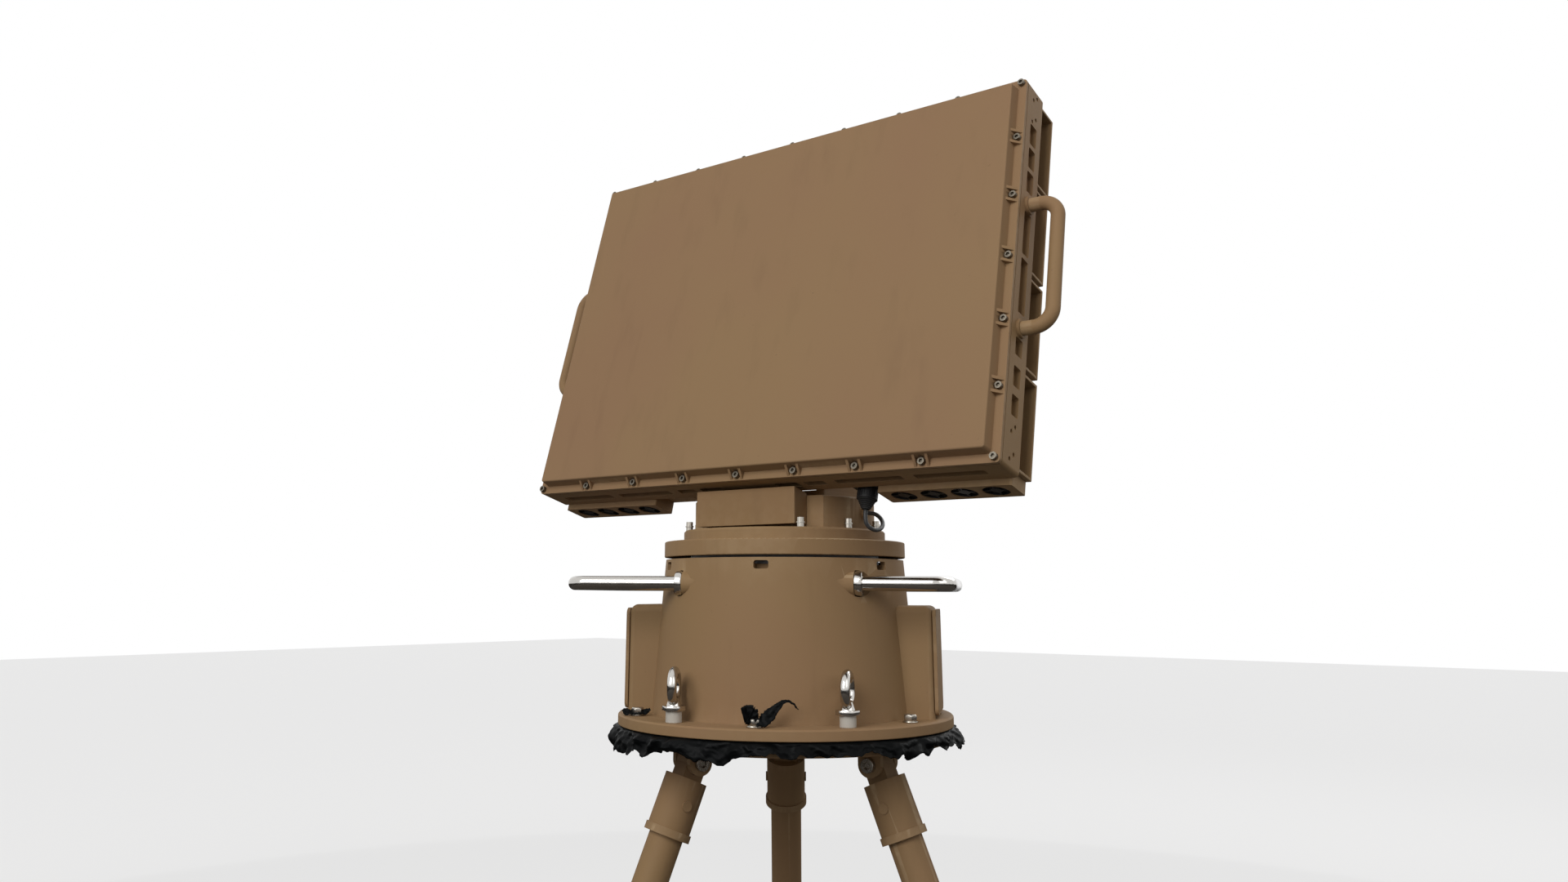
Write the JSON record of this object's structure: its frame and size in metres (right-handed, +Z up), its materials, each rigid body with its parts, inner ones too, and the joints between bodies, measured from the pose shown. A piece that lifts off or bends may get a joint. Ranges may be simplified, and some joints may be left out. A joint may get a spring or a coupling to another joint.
{
  "type": "flat panel radar antenna on a tripod",
  "caption": "Flat-panel radar antenna that leans back on a tilting yoke and turns on a round pedestal with lifting eyes and pull-out carrying rods, standing on a folding tripod.",
  "frame": {"origin": "mouth of the ballast socket, at the centre of the tripod head's underside, on the azimuth axis", "axes": "+Z up along the azimuth axis; the antenna looks along -Y at rest, +X is to the right for someone facing the antenna"},
  "size_m": [0.94, 0.7115, 1.5412],
  "materials": {
    "tan_paint": "matt textured sand paint over cast and machined aluminium",
    "radome_paint": "matt sand paint over glass-fibre moulding",
    "cover_paint": "matt sand paint on sheet covers",
    "stainless": "polished stainless steel",
    "bright_zinc": "bright zinc plated",
    "bearing_steel": "ground bearing steel",
    "gear_steel": "oiled gear steel",
    "bare_aluminium": "plain machined aluminium",
    "black_rubber": "matt black rubber",
    "black_plastic": "matt black moulded plastic",
    "nylon": "milky natural nylon",
    "circuit_board": "green solder mask",
    "black_film": "thin crumpled polythene film",
    "cable_jacket": "matt black cable jacket",
    "knob_plastic": "black star knobs on steel bolts"
  },
  "bodies": {
    "base": {"pedestal_housing": "tan_paint", "side_covers": "cover_paint", "base_flange": "tan_paint", "bearing_outer_ring": "bearing_steel", "bearing_balls": "bearing_steel", "drive_motor": "black_plastic", "motor_bracket": "bare_aluminium", "slip_ring_stator": "black_plastic", "control_board": "circuit_board", "rod_collars": "stainless", "flange_bolts": "bright_zinc", "eye_bolt_spacers": "nylon", "eye_bolts": "stainless", "film_sheet": "black_film", "tripod_head": "tan_paint", "leg_pins": "bright_zinc"},
    "head": {"turntable_plate": "tan_paint", "turntable_bolts": "bright_zinc", "rim_cap": "tan_paint", "neck_housing": "tan_paint", "service_cover": "cover_paint", "tilt_yoke": "tan_paint", "tilt_pin": "bright_zinc", "bearing_inner_ring": "bearing_steel", "azimuth_gear": "gear_steel", "slip_ring_rotor": "bare_aluminium", "panel_cable": "cable_jacket"},
    "panel": {"radome": "radome_paint", "radome_gasket": "black_rubber", "radome_screws": "bright_zinc", "antenna_frame": "tan_paint", "cold_plate": "tan_paint", "array_board": "circuit_board", "transceiver_modules": "bare_aluminium", "rear_modules_left": "tan_paint", "rear_modules_right": "tan_paint", "fan_rails": "tan_paint", "fan_frames": "black_plastic", "panel_handle_left": "tan_paint", "panel_handle_right": "tan_paint", "tilt_bracket": "tan_paint", "clamp_knobs": "knob_plastic", "panel_connector": "black_plastic"},
    "pinion": {"drive_pinion": "gear_steel"},
    "rod_left": {"carry_rod_left": "stainless"},
    "rod_right": {"carry_rod_right": "stainless"},
    "fan_1": {"fan_rotor_1": "black_plastic"},
    "fan_2": {"fan_rotor_2": "black_plastic"},
    "fan_3": {"fan_rotor_3": "black_plastic"},
    "fan_4": {"fan_rotor_4": "black_plastic"},
    "fan_5": {"fan_rotor_5": "black_plastic"},
    "fan_6": {"fan_rotor_6": "black_plastic"},
    "fan_7": {"fan_rotor_7": "black_plastic"},
    "fan_8": {"fan_rotor_8": "black_plastic"},
    "leg_1": {"leg_1": "tan_paint"},
    "foot_1": {"leg_extension_1": "bare_aluminium"},
    "leg_2": {"leg_2": "tan_paint"},
    "foot_2": {"leg_extension_2": "bare_aluminium"},
    "leg_3": {"leg_3": "tan_paint"},
    "foot_3": {"leg_extension_3": "bare_aluminium"}
  },
  "joints": [
    {"name": "azimuth_turn", "type": "hinge", "parent": "base", "child": "head", "pos_m": [0, 0, 0.27], "axis": [0, 0, 1], "continuous": true},
    {"name": "pinion_spin", "type": "hinge", "parent": "base", "child": "pinion", "pos_m": [0.10196, 0.04754, 0.22], "axis": [0, 0, 1], "continuous": true},
    {"name": "panel_tilt", "type": "hinge", "parent": "head", "child": "panel", "pos_m": [0, 0.045, 0.436], "axis": [-1, 0, 0], "range_deg": [0, 25], "deforming": ["panel_cable"]},
    {"name": "left_rod_slide", "type": "slide", "parent": "base", "child": "rod_left", "axis": [-0.9063, -0.4226, 0], "range_m": [-0.087, 0]},
    {"name": "right_rod_slide", "type": "slide", "parent": "base", "child": "rod_right", "axis": [0.9063, 0.4226, 0], "range_m": [-0.045, 0.042]},
    {"name": "fan_1_spin", "type": "hinge", "parent": "panel", "child": "fan_1", "pos_m": [-0.236, -0.04373, 0.34202], "axis": [0, 0.2588, 0.9659], "continuous": true},
    {"name": "fan_2_spin", "type": "hinge", "parent": "panel", "child": "fan_2", "pos_m": [-0.282, -0.04373, 0.34202], "axis": [0, 0.2588, 0.9659], "continuous": true},
    {"name": "fan_3_spin", "type": "hinge", "parent": "panel", "child": "fan_3", "pos_m": [-0.328, -0.04373, 0.34202], "axis": [0, 0.2588, 0.9659], "continuous": true},
    {"name": "fan_4_spin", "type": "hinge", "parent": "panel", "child": "fan_4", "pos_m": [-0.374, -0.04373, 0.34202], "axis": [0, 0.2588, 0.9659], "continuous": true},
    {"name": "fan_5_spin", "type": "hinge", "parent": "panel", "child": "fan_5", "pos_m": [0.236, -0.04373, 0.34202], "axis": [0, 0.2588, 0.9659], "continuous": true},
    {"name": "fan_6_spin", "type": "hinge", "parent": "panel", "child": "fan_6", "pos_m": [0.282, -0.04373, 0.34202], "axis": [0, 0.2588, 0.9659], "continuous": true},
    {"name": "fan_7_spin", "type": "hinge", "parent": "panel", "child": "fan_7", "pos_m": [0.328, -0.04373, 0.34202], "axis": [0, 0.2588, 0.9659], "continuous": true},
    {"name": "fan_8_spin", "type": "hinge", "parent": "panel", "child": "fan_8", "pos_m": [0.374, -0.04373, 0.34202], "axis": [0, 0.2588, 0.9659], "continuous": true},
    {"name": "leg_1_fold", "type": "hinge", "parent": "base", "child": "leg_1", "pos_m": [0.14943, 0.01307, -0.025], "axis": [-0.0872, 0.9962, 0], "range_deg": [0, 22]},
    {"name": "leg_1_extend", "type": "slide", "parent": "leg_1", "child": "foot_1", "axis": [0.3732, 0.0326, -0.9272], "range_m": [0, 0.2]},
    {"name": "leg_2_fold", "type": "hinge", "parent": "base", "child": "leg_2", "pos_m": [-0.08604, 0.12287, -0.025], "axis": [-0.8192, -0.5736, 0], "range_deg": [0, 22]},
    {"name": "leg_2_extend", "type": "slide", "parent": "leg_2", "child": "foot_2", "axis": [-0.2149, 0.3069, -0.9272], "range_m": [0, 0.2]},
    {"name": "leg_3_fold", "type": "hinge", "parent": "base", "child": "leg_3", "pos_m": [-0.06339, -0.13595, -0.025], "axis": [0.9063, -0.4226, 0], "range_deg": [0, 22]},
    {"name": "leg_3_extend", "type": "slide", "parent": "leg_3", "child": "foot_3", "axis": [-0.1583, -0.3395, -0.9272], "range_m": [0, 0.2]}
  ],
  "couplings": [
    {"joint": "pinion_spin", "follows": "azimuth_turn", "ratio": -4}
  ]
}
